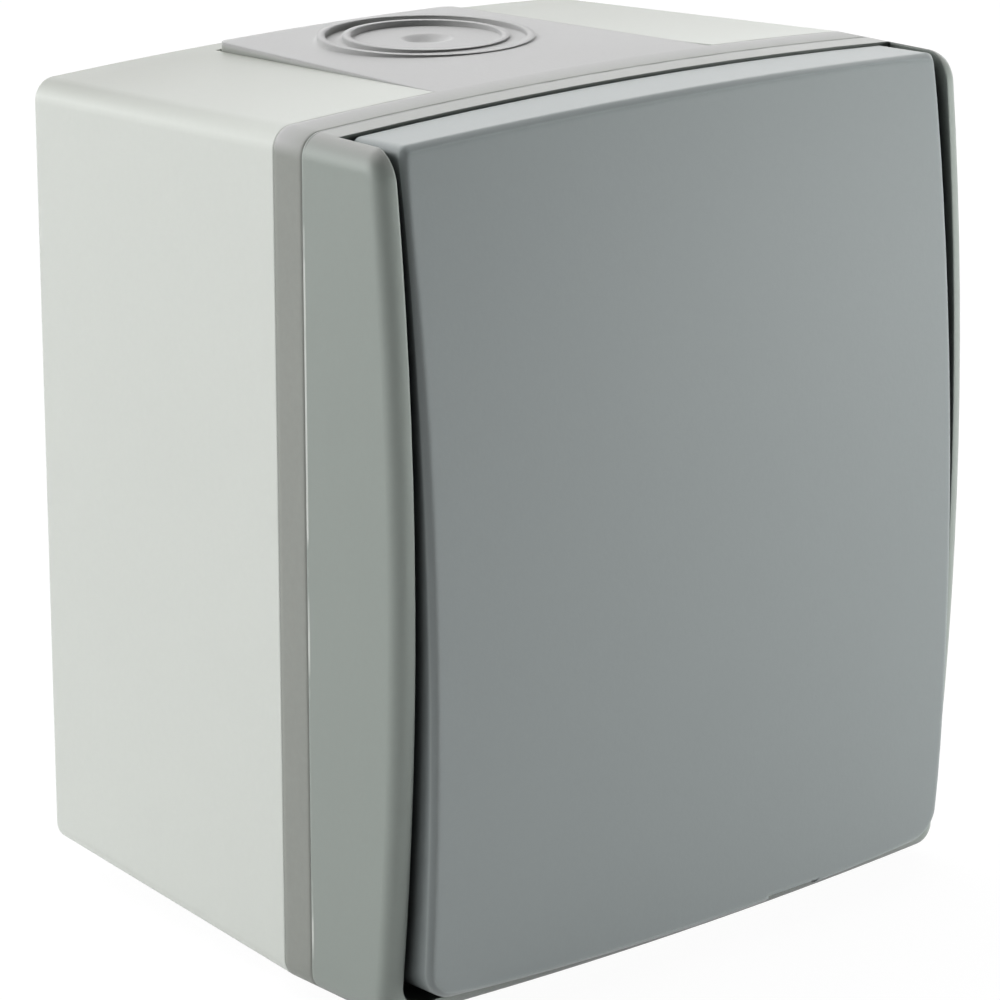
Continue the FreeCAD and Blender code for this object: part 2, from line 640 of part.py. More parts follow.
draw_crowned(sk, "width/2 - wall - fit_gap*2", "height/2 - wall - fit_gap*2")
draw_crowned(sk, "width/2 - wall - fit_gap*2 - spigot_wall", "height/2 - wall - fit_gap*2 - spigot_wall")
pad(frame, "frame_spigot", sk, "spigot_rise", back=True)
sk = new_sketch(frame, "frame_notch_sketch", depth="frame_back - spigot_rise - 1")
draw_box(sk, "-plug_half - 1", "plug_half + 1", "height/2 - plug_drop - 3", "height/2 + 8")
pocket(frame, "frame_spigot_notch", sk, "spigot_rise + 1", front=True)
sk = new_sketch(frame, "frame_screw_holes_sketch", depth="deck_front")
for x in ("post_x", "-post_x"):
    draw_circle(sk, x, "0", "cover_screw_radius + fit_gap*2")
pocket(frame, "frame_screw_holes", sk)
sk = new_sketch(frame, "frame_ring_seats_sketch", depth="deck_front")
for x in ("post_x", "-post_x"):
    draw_circle(sk, x, "0", "cover_head_radius - washer_rim")
pocket(frame, "frame_ring_seats", sk, "washer_thick")


def rocker_form(body, name, half, top, low, corner, top_corner=None):
    """Outline prism shared by the rocker and its hollow."""
    sk = new_sketch(body, name + "_outline", depth="rim_depth")
    draw_crowned(sk, half, "%s - crown_radius + sqrt(crown_radius^2 - (%s)^2)" % (top, half),
                 "%s - crown_radius + sqrt(crown_radius^2 - (%s)^2)" % (low, half), corner, top_corner)
    pad(body, name + "_form", sk, "cheek_depth + face_bulge + side_bulge + 3")


# Rocker, drawn level and set down tilted
core = new_body("rocker_hollow")
rocker_form(core, "hollow", "rocker_half - rocker_wall", "rocker_top - rocker_wall", "rocker_low - rocker_wall",
            "rocker_corner - 1.2")
sk = new_sketch(core, "hollow_front_sketch", "YZ_Plane")
draw_side_arc(sk, "corner_front + face_bulge + rocker_proud - rocker_face")
pocket(core, "hollow_front", sk, "width", middle=True)
rocker = new_body("rocker_plate")
made.append(rocker)
rocker_form(rocker, "rocker", "rocker_half", "rocker_top", "rocker_low", "rocker_corner", "rocker_top_corner")
curve_front(rocker, "rocker_front", "rocker_proud")
break_edges(rocker, "rocker_front_edge", "rocker_edge",
            lambda p, t, e: abs(p.y) > number("corner_front") - 2 and abs(t.y) < 0.9)
hollow = rocker.newObject("PartDesign::Boolean", "rocker_shell")
hollow.Type = "Cut"
hollow.setObjects([core])
doc.recompute()
inside = "corner_front + face_bulge + rocker_proud - rocker_face"
sk = new_sketch(rocker, "rocker_legs_sketch", depth="head_back - 1.3")
for sign in ("", "-"):
    near, far = sign + "(head_half_z + fit_gap)", sign + "(head_half_z + fit_gap + 1.6)"
    low, high = (near, far) if not sign else (far, near)
    draw_box(sk, "-5", "5", low, high)
pad(rocker, "rocker_legs", sk, "%s - head_back + 1.6" % inside)
sk = new_sketch(rocker, "rocker_hooks_sketch", depth="head_back - 1.3")
for sign in ("", "-"):
    near, far = sign + "(head_half_z - 0.8)", sign + "(head_half_z + fit_gap + 0.4)"
    low, high = (near, far) if not sign else (far, near)
    draw_box(sk, "-5", "5", low, high)
pad(rocker, "rocker_hooks", sk, "1.2")
sk = new_sketch(rocker, "rocker_rest_sketch", depth="head_front")
draw_box(sk, "-6", "6", "-7", "7")
draw_box(sk, "-4.6", "4.6", "-5.6", "5.6")
pad(rocker, "rocker_rest", sk, "%s - head_front + 0.3" % inside)
sk = new_sketch(rocker, "rocker_pry_sketch", depth="rim_depth - 1")
draw_box(sk, "pry_left", "pry_left + pry_width", "-rocker_low - 2", "-rocker_low + 0.2 + pry_deep")
pocket(rocker, "rocker_pry", sk, front=True)

# Carrier behind the rocker, with pins, neck, head and plunger tube
cradle = new_body("actuator_cradle")
made.append(cradle)
sk = new_sketch(cradle, "cradle_hub_sketch", "YZ_Plane")
draw_circle(sk, "-pivot_depth", "0", "hub_radius")
pad(cradle, "cradle_hub", sk, "2*(ear_inner - hub_side_gap)", middle=True)
sk = new_sketch(cradle, "cradle_pins_sketch", "YZ_Plane")
draw_circle(sk, "-pivot_depth", "0", "pin_radius")
pad(cradle, "cradle_pins", sk, "2*(block_half_x - 0.3)", middle=True)
sk = new_sketch(cradle, "cradle_neck_sketch", depth="pivot_depth")
draw_box(sk, "-neck_half_x", "neck_half_x", "-neck_half_z", "neck_half_z")
pad(cradle, "cradle_neck", sk, "head_back - pivot_depth + 0.4")
sk = new_sketch(cradle, "cradle_head_sketch", depth="head_back")
draw_box(sk, "-head_half_x", "head_half_x", "-head_half_z", "head_half_z")
pad(cradle, "cradle_head", sk, "head_thick")
sk = new_sketch(cradle, "cradle_tube_sketch", depth="tube_back")
draw_circle(sk, "0", "0", "tube_radius")
pad(cradle, "cradle_tube", sk, "pivot_depth - tube_back")
sk = new_sketch(cradle, "cradle_bore_sketch", depth="bore_end")
draw_circle(sk, "0", "0", "bore_radius")
pocket(cradle, "cradle_bore", sk)

# Plunger with a blunt nose, and its coil spring
plunger = new_body("plunger")
made.append(plunger)
sk = new_sketch(plunger, "plunger_sketch", "YZ_Plane")
tip = "-plunger_tip"
draw_loop(sk, [(tip, "0"), (tip, "nose_flat"), (tip + " - nose_taper", "plunger_radius"),
               ("-plunger_top", "plunger_radius"), ("-plunger_top", "0")])
doc.recompute()
feat = plunger.newObject("PartDesign::Revolution", "plunger_turned")
feat.Profile = sk
feat.ReferenceAxis = (sk, ["H_Axis"])
feat.Angle = 360.0
doc.recompute()

spring = new_body("plunger_spring")
made.append(spring)
sk = new_sketch(spring, "spring_wire_sketch", "YZ_Plane")
draw_box(sk, "-(plunger_top + spring_seat + spring_wire)", "-(plunger_top + spring_seat)",
         "bore_radius - spring_gap - spring_wire", "bore_radius - spring_gap")
doc.recompute()
coil = spring.newObject("PartDesign::AdditiveHelix", "spring_coil")
coil.Profile = sk
coil.ReferenceAxis = (sk, ["H_Axis"])
coil.Mode = "pitch-height-angle"
bind(coil, "Pitch", "spring_pitch")
bind(coil, "Height", "bore_end - plunger_top - spring_wire - spring_seat*2")
coil.Reversed = True
doc.recompute()
for obj in (rocker, cradle, plunger, spring):
    turn_about(obj, number("pivot_depth"), -number("rocker_tilt"))

# Rubber gaiter over the window of the cover
gaiter = new_body("rocker_membrane")
made.append(gaiter)
sk = new_sketch(gaiter, "gaiter_flange_sketch", depth="deck_front")
draw_box(sk, "-window_half_x - gaiter_flange", "window_half_x + gaiter_flange",
         "-window_half_z - gaiter_flange", "window_half_z + gaiter_flange")
pad(gaiter, "gaiter_plate", sk, "gaiter_skin")
sk = new_sketch(gaiter, "gaiter_cap_sketch", depth="deck_front")
draw_box(sk, "-window_half_x", "window_half_x", "-window_half_z", "window_half_z")
pad(gaiter, "gaiter_cap", sk, "gaiter_rise")
sk = new_sketch(gaiter, "gaiter_inside_sketch", depth="gaiter_front - gaiter_skin")
draw_box(sk, "-window_half_x + gaiter_skin", "window_half_x - gaiter_skin",
         "-window_half_z + gaiter_skin", "window_half_z - gaiter_skin")
pocket(gaiter, "gaiter_inside", sk)
sk = new_sketch(gaiter, "gaiter_hole_sketch", depth="gaiter_front")
draw_box(sk, "-neck_half_x - gaiter_gap", "neck_half_x + gaiter_gap",
         "-neck_half_z - gaiter_gap", "neck_half_z + gaiter_gap")
pocket(gaiter, "gaiter_hole", sk)

# Mechanism body with chamber, ears, terminal bays and strip slots
mech = new_body("mechanism_body")
made.append(mech)
sk = new_sketch(mech, "mech_flange_sketch", depth="flange_back")
draw_box(sk, "-flange_half_x", "flange_half_x", "-flange_half_z", "flange_half_z")
pad(mech, "mech_flange", sk, "flange_thick")
round_edges(mech, "mech_flange_corners", "2", lambda p, t, e: abs(t.y) > 0.9)
sk = new_sketch(mech, "mech_block_sketch", depth="flange_back + 1")
draw_box(sk, "-block_half_x", "block_half_x", "-block_half_z", "block_half_z")
pad(mech, "mech_block", sk, "block_front - flange_back - 1")
sk = new_sketch(mech, "mech_ears_sketch", "YZ_Plane")
draw_loop(sk, [("-block_front + 1", "ear_half_z"), ("-block_front + 1", "-ear_half_z"),
               ("-ear_front", "-ear_half_z"), ("-ear_front", "ear_half_z")])
pad(mech, "mech_ears", sk, "2*block_half_x", middle=True)
sk = new_sketch(mech, "mech_gap_sketch", "YZ_Plane")
draw_box(sk, "-ear_front - 1", "-block_front", "-ear_half_z - 1", "ear_half_z + 1")
pocket(mech, "mech_gap", sk, "2*ear_inner", middle=True)
round_edges(mech, "mech_ear_tips", "2",
            lambda p, t, e: abs(t.x) > 0.9 and abs(p.y + number("ear_front")) < 0.01)
sk = new_sketch(mech, "mech_bore_sketch", "YZ_Plane")
draw_circle(sk, "-pivot_depth", "0", "pin_radius + run_gap")
pocket(mech, "mech_bore", sk, "2*block_half_x + 2", middle=True)
sk = new_sketch(mech, "mech_chamber_sketch", depth="block_front - chamber_roof")
draw_box(sk, "-chamber_half_x", "chamber_half_x", "-chamber_half_z", "chamber_half_z")
pocket(mech, "mech_chamber", sk)
sk = new_sketch(mech, "mech_mouth_sketch", depth="block_front + 1")
draw_box(sk, "-tube_radius - 0.8", "tube_radius + 0.8", "-tube_radius - 1.2", "tube_radius + 1.2")
pocket(mech, "mech_mouth", sk, "chamber_roof + 2")
sk = new_sketch(mech, "mech_slots_sketch", depth="flange_front")
draw_box(sk, "-block_half_x - 1", "0", "-strip_half - fit_gap", "strip_half + fit_gap")
for sign in ("", "-"):
    near, far = sign + "(terminal_z - strip_half - fit_gap)", sign + "(contact_arm + strip_half + fit_gap)"
    low, high = (near, far) if not sign else (far, near)
    draw_box(sk, "0", "block_half_x + 1", low, high)
pocket(mech, "mech_slots", sk, "strip_thick + fit_gap", front=True)
sk = new_sketch(mech, "mech_ribs_sketch", depth="flange_front - 0.5")
draw_box(sk, "block_half_x - 0.5", "flange_half_x", "-0.8", "0.8")
for sign in ("", "-"):
    near, far = sign + "(strip_half + 1)", sign + "(strip_half + 2.4)"
    low, high = (near, far) if not sign else (far, near)
    draw_box(sk, "-flange_half_x", "-block_half_x + 0.5", low, high)
pad(mech, "mech_ribs", sk, "wire_room + strip_thick + 4")
sk = new_sketch(mech, "mech_screw_holes_sketch", depth="flange_front + 1")
draw_circle(sk, "-terminal_x", "0", "small_screw_radius + fit_gap")
for z in ("terminal_z", "-terminal_z"):
    draw_circle(sk, "terminal_x", z, "small_screw_radius + fit_gap")
draw_circle(sk, "-mount_x", "mount_z", "small_screw_radius + fit_gap")
draw_circle(sk, "mount_x", "-mount_z", "small_screw_radius + fit_gap")
pocket(mech, "mech_screw_holes", sk)

# Lid that closes the chamber from behind
lid = new_body("mechanism_lid")
made.append(lid)
sk = new_sketch(lid, "lid_sketch", depth="flange_back - lid_thick")
draw_box(sk, "-block_half_x + 0.7", "block_half_x - 0.7", "-block_half_z + 0.6", "block_half_z - 0.6")
pad(lid, "lid_plate", sk, "lid_thick")
sk = new_sketch(lid, "lid_spigot_sketch", depth="flange_back - lid_thick")
draw_box(sk, "-chamber_half_x + fit_gap", "chamber_half_x - fit_gap",
         "-chamber_half_z + fit_gap", "chamber_half_z - fit_gap")
pad(lid, "lid_spigot", sk, "lid_thick + flange_thick - lid_gap")

# Brass strips
common = new_body("common_terminal")
made.append(common)
sk = new_sketch(common, "common_sketch", depth="flange_front")
draw_box(sk, "-terminal_x - strip_half", "strip_half + 0.4", "-strip_half", "strip_half")
draw_circle(sk, "-terminal_x", "0", "small_screw_radius + run_gap")
pad(common, "common_strip", sk, "strip_thick")
sk = new_sketch(common, "fulcrum_sketch", "YZ_Plane")
draw_loop(sk, [("-strip_front + 0.4", "fulcrum_radius"), ("-fulcrum_depth", "fulcrum_radius"),
               ("-fulcrum_depth", "-fulcrum_radius"), ("-strip_front + 0.4", "-fulcrum_radius")])
pad(common, "fulcrum_web", sk, "2*fulcrum_half", middle=True)
sk = new_sketch(common, "fulcrum_top_sketch", "YZ_Plane")
draw_circle(sk, "-fulcrum_depth", "0", "fulcrum_radius")
pad(common, "fulcrum_top", sk, "2*fulcrum_half", middle=True)

for label, sign in (("upper_terminal", ""), ("lower_terminal", "-")):
    strip = new_body(label)
    made.append(strip)
    sk = new_sketch(strip, label + "_sketch", depth="flange_front")
    outer, inner = sign + "(contact_arm + strip_half)", sign + "(contact_arm - strip_half)"
    far, near = sign + "(terminal_z + strip_half)", sign + "(terminal_z - strip_half)"
    points = [("-strip_half", inner), ("block_half_x - 3", inner), ("block_half_x - 0.5", near),
              ("terminal_x + strip_half", near), ("terminal_x + strip_half", far),
              ("block_half_x + 0.5", far), ("block_half_x - 2", outer), ("-strip_half", outer)]
    draw_loop(sk, points if not sign else points[::-1])
    draw_circle(sk, "terminal_x", sign + "terminal_z", "small_screw_radius + run_gap")
    pad(strip, label + "_strip", sk, "strip_thick")

# Contact lever with its tabs, drawn level and set down tilted
lever = new_body("contact_lever")
made.append(lever)
sk = new_sketch(lever, "lever_sketch", depth="lever_back")
draw_box(sk, "-lever_half", "lever_half", "-contact_arm - contact_radius - 0.6",
         "contact_arm + contact_radius + 0.6")
pad(lever, "lever_strip", sk, "lever_thick")
sk = new_sketch(lever, "lever_tabs_sketch", depth="lever_back + 0.4")
draw_box(sk, "-lever_half", "-lever_half + lever_tab", "-1.8", "1.8")
draw_box(sk, "lever_half - lever_tab", "lever_half", "-1.8", "1.8")
pad(lever, "lever_tabs", sk, "0.4 + fulcrum_radius + 1.4", back=True)

movers = [rod("lever_contact_" + n, "0", z, "lever_back - contact_rise", "contact_rise", "contact_radius")
          for n, z in (("a", "contact_arm"), ("b", "-contact_arm"))]
lever_contacts = group("lever_contacts", movers)
made.append(lever_contacts)
doc.recompute()
for obj in (lever, lever_contacts):
    turn_about(obj, number("fulcrum_depth"), number("lever_tilt"))
made.append(group("fixed_contacts", [
    rod("fixed_contact_" + n, "0", z, "strip_front", "contact_top - strip_front", "contact_radius")
    for n, z in (("a", "contact_arm"), ("b", "-contact_arm"))]))

# Fasteners
made.append(group("cover_screws", [
    screw("cover_screw_" + n, x, "0", "deck_front", "cover_screw_reach", "cover_screw_radius",
          "cover_head", "cover_head_radius")
    for n, x in (("a", "post_x"), ("b", "-post_x"))]))
made.append(group("screw_seals", [
    cut("screw_seal_" + n,
        rod("seal_disc_" + n, x, "0", "deck_front - washer_thick", "washer_thick",
            "cover_head_radius - washer_rim - fit_gap"),
        rod("seal_bore_" + n, x, "0", "deck_front - washer_thick - 1", "washer_thick + 2",
            "cover_screw_radius + fit_gap*2"))
    for n, x in (("a", "post_x"), ("b", "-post_x"))]))
made.append(group("mechanism_screws", [
    screw("mechanism_screw_" + n, x, z, "flange_front", "mount_screw_reach", "small_screw_radius",
          "small_head", "small_head_radius")
    for n, x, z in (("a", "-mount_x", "mount_z"), ("b", "mount_x", "-mount_z"))]))
clamp_back = "strip_front + wire_room"
bays = (("a", "-terminal_x", "0"), ("b", "terminal_x", "terminal_z"), ("c", "terminal_x", "-terminal_z"))
made.append(group("wire_clamps", [
    cut("wire_clamp_" + n,
        block("clamp_plate_" + n, x, z, clamp_back, "2*clamp_half", "2*clamp_half", "clamp_thick"),
        rod("clamp_hole_" + n, x, z, clamp_back + " - 1", "clamp_thick + 2", "small_screw_radius + run_gap"))
    for n, x, z in bays]))
made.append(group("terminal_screws", [
    screw("terminal_screw_" + n, x, z, clamp_back + " + clamp_thick",
          "clamp_thick + wire_room + strip_thick + flange_thick - 0.5",
          "small_screw_radius", "small_head", "small_head_radius")
    for n, x, z in bays]))

doc.removeObject("Spare")
doc.recompute()

for obj in doc.Objects:
    if "Invalid" in obj.State or "Error" in obj.State:
        raise RuntimeError("%s: %s" % (obj.Name, obj.State))
os.makedirs("parts", exist_ok=True)
for obj in made:
    if obj.Shape.isNull() or not obj.Shape.isValid() or obj.Shape.Volume <= 0:
        raise RuntimeError("bad shape: " + obj.Label)
    obj.Shape.exportStep("parts/%s.step" % obj.Label)
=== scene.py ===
import json
import math
from collections import namedtuple
import bpy
from mathutils import Euler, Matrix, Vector


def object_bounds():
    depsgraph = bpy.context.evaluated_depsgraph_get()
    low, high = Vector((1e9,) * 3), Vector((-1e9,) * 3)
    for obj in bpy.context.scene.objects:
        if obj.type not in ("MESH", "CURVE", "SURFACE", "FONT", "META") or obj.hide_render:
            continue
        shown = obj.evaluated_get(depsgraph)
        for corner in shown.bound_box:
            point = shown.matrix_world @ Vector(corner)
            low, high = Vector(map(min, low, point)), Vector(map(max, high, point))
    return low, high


# Weatherproof rocker switch: finishes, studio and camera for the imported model.
# Lengths are in metres, in the model's frame: X right, Y into the wall, Z up.

WHITE = (1, 1, 1, 1)

# Moulded finishes
FLOW_SCALE = 85.0              # flow marks per metre
FLOW_SHARE = 0.45              # of the flow marks in the tint, the rest is specks
SPECK_SCALE = 0.6              # of the grain's scale
TINT_RANGE = 0.3, 0.7          # of the noise, between the darkest and the lightest tint
GLOSS_SPREAD = 0.06
SOFT_SAMPLES = 6               # of the soft edges and the painted gap shade
LINE_BREAKS = 0.5, 0.58        # of the flow marks, where the thin light band ends and begins
LINE_ON_TOP = 0.3              # shade of the thin band on faces that look up
EDGE_TURN = 0.99, 0.86         # cosine of a soft edge's turn where the painted edge highlight begins and is full
# lighter colour of the painted edge highlight
EDGE_HIGHLIGHT = 1.7
# Painted shade, near black, in narrow gaps where shade falls
GAP_SHADE_AIR = 0.12, 0.55          # share of open air where the painted gap shade is full and where it ends
GAP_SHADE_SHARE = 0.97
GAP_SHADE = (0.004, 0.004, 0.004, 1.0)

# Metal finishes
DRAWN_ALONG = (1.0, 1.0, 14.0)
DRAWN_SCALE = 420.0
DRAWN_SHADES = 0.82, 1.08
DRAWN_GLOSS = -0.08, 0.1
DRAWN_DEPTH = 0.00002

# Studio
FLOOR_SIZE = 6.0
FLOOR_DROP = 0.0002
FLOOR_COLOUR = (0.85, 0.85, 0.85, 1)
FLOOR_ROUGH = 0.9
FLOOR_GLOW = 1.06
FLOOR_GLOW_SHARE = 0.9         # the rest keeps the shadow
SKY_FRONT, SKY_BACK = 0.04, 0.62
SKY_TURN = -0.35, 0.45         # Y of the direction where the sky begins and ends to brighten
SKY_GLOSS = 2.6                # added to the sky's strength in reflections, as a multiple
LAMPS = [
    # name, place, target, size, watts, seen in reflections
    ("top_light", (0.0, 0.35, 0.8), (0, -0.02, 0), (0.9, 0.9), 3.3, True),
    ("left_light", (-0.78, 0.55, 0.22), (0, -0.02, 0), (0.7, 0.9), 5.4, True),
    ("right_light", (0.28, -0.29, -0.01), (0, -0.05, 0), (0.2, 0.2), 1.85, False),
]

# Camera, fitted to the photograph
SENSOR_MM, LENS_MM = 36.0, 159.68
CAMERA_PLACE = (-0.2509, -0.3183, 0.1126)
CAMERA_DOWN, CAMERA_TURN = 16.71, -40.66       # degrees
CAMERA_CLIP = 0.01

# Painted light and shade on faces that look up (lighter on the seal, darker on the box and the
# cover): its share grows from the front to the rear, along Y
PaintedTopTone = namedtuple("PaintedTopTone", "front rear front_share colour")
# Thin light band, broken, around the part at one place along Y, darker on faces that look up
Line = namedtuple("Line", "place half_width colour")

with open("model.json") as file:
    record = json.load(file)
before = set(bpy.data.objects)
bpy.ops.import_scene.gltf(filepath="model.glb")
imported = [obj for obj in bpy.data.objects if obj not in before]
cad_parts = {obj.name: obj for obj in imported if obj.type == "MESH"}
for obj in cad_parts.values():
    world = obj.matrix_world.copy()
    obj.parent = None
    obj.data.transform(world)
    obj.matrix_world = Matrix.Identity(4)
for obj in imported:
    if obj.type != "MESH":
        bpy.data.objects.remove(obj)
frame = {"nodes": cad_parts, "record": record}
cad_low, cad_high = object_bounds()
scene = bpy.context.scene
scene.view_settings.view_transform = "Standard"


def linear(r, g, b):
    """Screen colour 0..255 as linear values."""
    def one(v):
        v /= 255
        return v / 12.92 if v <= 0.04045 else ((v + 0.055) / 1.055) ** 2.4
    return one(r), one(g), one(b), 1.0


def shade(colour, factor):
    """Colour made darker or lighter, up to white."""
    return tuple(min(1.0, c * factor) for c in colour[:3]) + (1.0,)


def add(tree, kind, **values):
    """New node with some of its inputs set by name."""
    node = tree.nodes.new(kind)
    for name, value in values.items():
        node.inputs[name.replace("_", " ")].default_value = value
    return node


def maths(tree, operation, *values):
    """Result of a maths node on sockets and numbers."""
    node = tree.nodes.new("ShaderNodeMath")
    node.operation = operation
    for slot, value in zip(node.inputs, values):
        if isinstance(value, bpy.types.NodeSocket):
            tree.links.new(value, slot)
        else:
            slot.default_value = value
    return node.outputs["Value"]


def ranged(tree, value, start, end, low=0.0, high=1.0, easing="LINEAR"):
    """Goes from low to high, and no further, while value goes from start to end."""
    node = add(tree, "ShaderNodeMapRange", From_Min=start, From_Max=end, To_Min=low, To_Max=high)
    node.interpolation_type = easing
    tree.links.new(value, node.inputs["Value"])
    return node.outputs["Result"]


def component(tree, vector, axis):
    """One component of a vector socket."""
    node = tree.nodes.new("ShaderNodeSeparateXYZ")
    tree.links.new(vector, node.inputs["Vector"])
    return node.outputs[axis]


def noise(tree, place, scale, detail, roughness):
    """Noise texture over the given coordinates."""
    node = add(tree, "ShaderNodeTexNoise", Scale=scale, Detail=detail, Roughness=roughness)
    tree.links.new(place, node.inputs["Vector"])
    return node.outputs["Fac"]


def two_tone(tree, share, dark, light, start=0.0, end=1.0):
    """Colour from dark to light while share goes from start to end."""
    node = tree.nodes.new("ShaderNodeValToRGB")
    low, high = node.color_ramp.elements
    low.position, high.position = start, end
    low.color, high.color = dark, light
    tree.links.new(share, node.inputs["Fac"])
    return node.outputs["Color"]


def mixed(tree, share, under, over):
    """Colour socket laid over with a fixed colour by the given share."""
    mix = tree.nodes.new("ShaderNodeMix")
    mix.data_type = "RGBA"
    tree.links.new(share, mix.inputs["Factor"])
    tree.links.new(under, mix.inputs[6])        # 6, 7 and 2 are the sockets for colours
    mix.inputs[7].default_value = over
    return mix.outputs[2]


def mixed_shaders(tree, share, under, over, output):
    """Two shaders mixed by the given share, as the surface of a material or world."""
    mix = tree.nodes.new("ShaderNodeMixShader")
    tree.links.new(share, mix.inputs["Fac"])
    tree.links.new(under, mix.inputs[1])
    tree.links.new(over, mix.inputs[2])
    tree.links.new(mix.outputs["Shader"], tree.nodes[output].inputs["Surface"])


def bumped(tree, bsdf, height, strength, distance):
    """Bump on the shader's normal. Returns its node."""
    bump = add(tree, "ShaderNodeBump", Strength=strength, Distance=distance)
    tree.links.new(height, bump.inputs["Height"])
    tree.links.new(bump.outputs["Normal"], bsdf.inputs["Normal"])
    return bump


def new_material(name):
    """Material with its node tree and its shader."""
    mat = bpy.data.materials.new(name)
    mat.use_nodes = True
    return mat, mat.node_tree, mat.node_tree.nodes["Principled BSDF"]


def moulded(name, colour, rough, mottle, grain=2600.0, depth=0.00003, edge=0.0003,
            painted_top_tone=None, lean=(0.3, 0.9), line=None, gaps=0.0, edge_highlight=0.0):
    """Moulded plastic or rubber: fine spark grain, faint flow marks, uneven gloss, soft edges.

    lean is how far up a face looks where the painted top tone (painted light and shade on faces
    that look up) begins and is full. gaps is the reach of the painted shade that darkens narrow
    gaps, and the edge share is the share by which a painted highlight lightens edges of a finish
    with such shade.
    """
    mat, tree, bsdf = new_material(name)
    place = tree.nodes.new("ShaderNodeTexCoord").outputs["Object"]
    along_y = component(tree, place, "Y")
    bevel = add(tree, "ShaderNodeBevel", Radius=edge)
    bevel.samples = SOFT_SAMPLES
    normal = bevel.outputs["Normal"]

    flow = noise(tree, place, FLOW_SCALE, 3.0, 0.55)
    speck = noise(tree, place, grain * SPECK_SCALE, 2.0, 0.6)
    fine = noise(tree, place, grain, 4.0, 0.65)
    specks = maths(tree, "MULTIPLY", speck, 1.0 - FLOW_SHARE)
    uneven = maths(tree, "MULTIPLY_ADD", flow, FLOW_SHARE, specks)
    dark, light = shade(colour, 1.0 - mottle), shade(colour, 1.0 + mottle)
    paint = two_tone(tree, uneven, dark, light, *TINT_RANGE)

    if painted_top_tone or line:
        upward = ranged(tree, component(tree, normal, "Z"), *lean)
    # Painted light and shade: faces that look up take a lighter or darker colour, more so toward
    # the rear
    if painted_top_tone:
        toward_wall = ranged(tree, along_y, painted_top_tone.front, painted_top_tone.rear, low=painted_top_tone.front_share)
        top_tone_share = maths(tree, "MULTIPLY", upward, toward_wall)
        paint = mixed(tree, top_tone_share, paint, painted_top_tone.colour)
    # Thin light band at one place along Y, broken by the flow marks, darker on faces that look
    # up
    if line:
        near = maths(tree, "COMPARE", along_y, line.place, line.half_width)
        broken = maths(tree, "MULTIPLY", near, ranged(tree, flow, *LINE_BREAKS))
        paint = mixed(tree, broken, paint, line.colour)
        on_top = maths(tree, "MULTIPLY", near, upward)
        paint = mixed(tree, on_top, paint, shade(colour, LINE_ON_TOP))
    if gaps:
        # Painted highlight: edges lighter where the soft-edge normal turns away from the flat
        # normal
        turn = tree.nodes.new("ShaderNodeVectorMath")
        turn.operation = "DOT_PRODUCT"
        tree.links.new(normal, turn.inputs[0])
        flat = tree.nodes.new("ShaderNodeNewGeometry").outputs["Normal"]
        tree.links.new(flat, turn.inputs[1])
        edge_highlight_share = ranged(tree, turn.outputs["Value"], *EDGE_TURN, high=edge_highlight)
        paint = mixed(tree, edge_highlight_share, paint, shade(colour, EDGE_HIGHLIGHT))
        # Painted shade: near black in narrow gaps, from ambient occlusion
        air = add(tree, "ShaderNodeAmbientOcclusion", Distance=gaps)
        air.samples = SOFT_SAMPLES
        gap_shade = ranged(tree, air.outputs["AO"], *GAP_SHADE_AIR, low=GAP_SHADE_SHARE, high=0.0)
        paint = mixed(tree, gap_shade, paint, GAP_SHADE)
    tree.links.new(paint, bsdf.inputs["Base Color"])

    gloss = ranged(tree, uneven, 0.0, 1.0, rough - GLOSS_SPREAD, rough + GLOSS_SPREAD)
    tree.links.new(gloss, bsdf.inputs["Roughness"])
    bump = bumped(tree, bsdf, fine, 0.35, depth)
    tree.links.new(normal, bump.inputs["Normal"])
    return mat


def metal(name, colour, rough):
    """Rolled or turned metal with fine drawn lines."""
    mat, tree, bsdf = new_material(name)
    bsdf.inputs["Metallic"].default_value = 1.0
    stretch = add(tree, "ShaderNodeMapping", Scale=DRAWN_ALONG)
    place = tree.nodes.new("ShaderNodeTexCoord").outputs["Object"]
    tree.links.new(place, stretch.inputs["Vector"])
    lines = noise(tree, stretch.outputs["Vector"], DRAWN_SCALE, 5.0, 0.7)
    dark, light = (shade(colour, factor) for factor in DRAWN_SHADES)
    tree.links.new(two_tone(tree, lines, dark, light), bsdf.inputs["Base Color"])
    smooth, coarse = (rough + step for step in DRAWN_GLOSS)
    tree.links.new(ranged(tree, lines, 0.0, 1.0, smooth, coarse), bsdf.inputs["Roughness"])
    bumped(tree, bsdf, lines, 0.2, DRAWN_DEPTH)
    return mat


def floor_finish():
    """Pale floor, bright to the camera and in reflections, with a soft shadow left in it."""
    mat, tree, bsdf = new_material("floor_white")
    bsdf.inputs["Base Color"].default_value = FLOOR_COLOUR
    bsdf.inputs["Roughness"].default_value = FLOOR_ROUGH
    glow = add(tree, "ShaderNodeEmission", Strength=FLOOR_GLOW)
    rays = tree.nodes.new("ShaderNodeLightPath").outputs
    seen = maths(tree, "MAXIMUM", rays["Is Camera Ray"], rays["Is Glossy Ray"])
    share = maths(tree, "MULTIPLY", seen, FLOOR_GLOW_SHARE)
    mixed_shaders(tree, share, bsdf.outputs["BSDF"], glow.outputs["Emission"], "Material Output")
    return mat


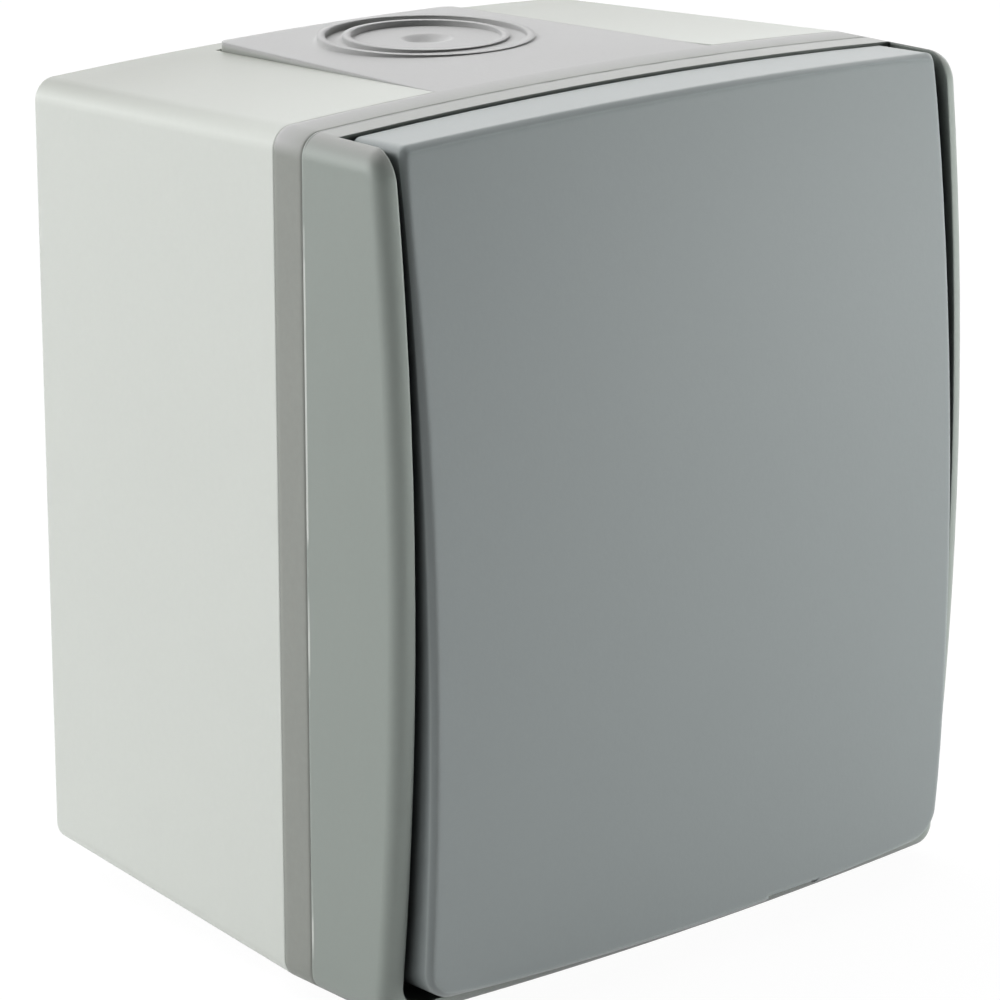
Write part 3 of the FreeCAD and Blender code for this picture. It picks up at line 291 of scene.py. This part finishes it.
def studio_world():
    """World that is white to the camera, and lights the part from behind more than in front."""
    world = bpy.data.worlds.new("studio")
    world.use_nodes = True
    tree = world.node_tree
    direction = tree.nodes.new("ShaderNodeTexCoord").outputs["Generated"]
    toward_wall = component(tree, direction, "Y")
    rise = ranged(tree, toward_wall, *SKY_TURN, SKY_FRONT, SKY_BACK, easing="SMOOTHSTEP")
    rays = tree.nodes.new("ShaderNodeLightPath").outputs
    gain = maths(tree, "MULTIPLY_ADD", rays["Is Glossy Ray"], SKY_GLOSS, 1.0)
    sky = tree.nodes["Background"]
    sky.inputs["Color"].default_value = WHITE
    tree.links.new(maths(tree, "MULTIPLY", rise, gain), sky.inputs["Strength"])
    white = add(tree, "ShaderNodeBackground", Color=WHITE, Strength=1.0)
    mixed_shaders(tree, rays["Is Camera Ray"], sky.outputs["Background"],
                  white.outputs["Background"], "World Output")
    return world


def softbox(name, place, target, size, watts, mirrored):
    """Area lamp that looks at the target."""
    data = bpy.data.lights.new(name, "AREA")
    data.shape = "RECTANGLE"
    data.size, data.size_y = size
    data.energy = watts
    lamp = bpy.data.objects.new(name, data)
    lamp.location = place
    aim = Vector(target) - Vector(place)
    lamp.rotation_euler = aim.to_track_quat("-Z", "Y").to_euler()
    lamp.visible_glossy = mirrored
    scene.collection.objects.link(lamp)


# The top tones below are painted light and shade on faces that look up: lighter on the seal's
# top, darker on the box's and the cover's tops
MOULDED = {
    "box_plastic": dict(
        colour=linear(219, 223, 217), rough=0.48, mottle=0.012,
        painted_top_tone=PaintedTopTone(-0.0364, -0.004, 0.36, linear(168, 171, 164))),
    "seal_rubber": dict(
        colour=linear(148, 151, 145), rough=0.55, mottle=0.04,
        grain=1900.0, depth=0.00006, edge=0.0008,
        painted_top_tone=PaintedTopTone(-0.0402, -0.0362, 0.25, linear(186, 186, 186)), lean=(0.0, 0.45)),
    # gaps here and on the rocker paints shade in narrow gaps
    "cover_plastic": dict(
        colour=linear(149, 157, 151), rough=0.40, mottle=0.015, gaps=0.005, edge_highlight=0.25,
        painted_top_tone=PaintedTopTone(-0.06, -0.041, 1.0, linear(134, 136, 132)),
        line=Line(-0.04034, 0.00012, linear(205, 208, 203))),
    # The edge share here and on the cover paints a highlight on edges
    "rocker_plastic": dict(
        colour=linear(141, 148, 148), rough=0.42, mottle=0.015, edge=0.0007,
        gaps=0.005, edge_highlight=1.0),
    "gaiter_rubber": dict(
        colour=linear(28, 28, 29), rough=0.75, mottle=0.1, grain=1800.0, depth=0.00006),
    "cradle_plastic": dict(colour=linear(228, 225, 214), rough=0.45, mottle=0.02),
    "mechanism_plastic": dict(colour=linear(206, 206, 201), rough=0.6, mottle=0.03),
}
METAL = {
    "spring_steel": dict(colour=linear(190, 190, 192), rough=0.3),
    "screw_steel": dict(colour=linear(196, 196, 192), rough=0.34),
    "terminal_brass": dict(colour=linear(214, 178, 108), rough=0.33),
    "contact_silver": dict(colour=linear(222, 222, 218), rough=0.28),
}
finishes = {name: moulded(name, **look) for name, look in MOULDED.items()}
finishes.update({name: metal(name, **look) for name, look in METAL.items()})
for part in frame["record"]["subparts"]:
    mesh = frame["nodes"][part["node"]].data
    mesh.materials.clear()
    mesh.materials.append(finishes[part["material_slot"]])

floor_level = cad_low.z - FLOOR_DROP
bpy.ops.mesh.primitive_plane_add(size=FLOOR_SIZE, location=(0, 0, floor_level))
floor = bpy.context.object
floor.name = "floor"
floor.data.materials.append(floor_finish())
scene.world = studio_world()
for lamp in LAMPS:
    softbox(*lamp)

camera = bpy.data.objects.new("camera", bpy.data.cameras.new("camera"))
camera.data.sensor_width = SENSOR_MM
camera.data.lens = LENS_MM
camera.data.clip_start = CAMERA_CLIP
camera.location = CAMERA_PLACE
pitch, turn = math.radians(90 - CAMERA_DOWN), math.radians(CAMERA_TURN)
camera.rotation_euler = Euler((pitch, 0, turn), "XYZ")
scene.collection.objects.link(camera)
scene.camera = camera
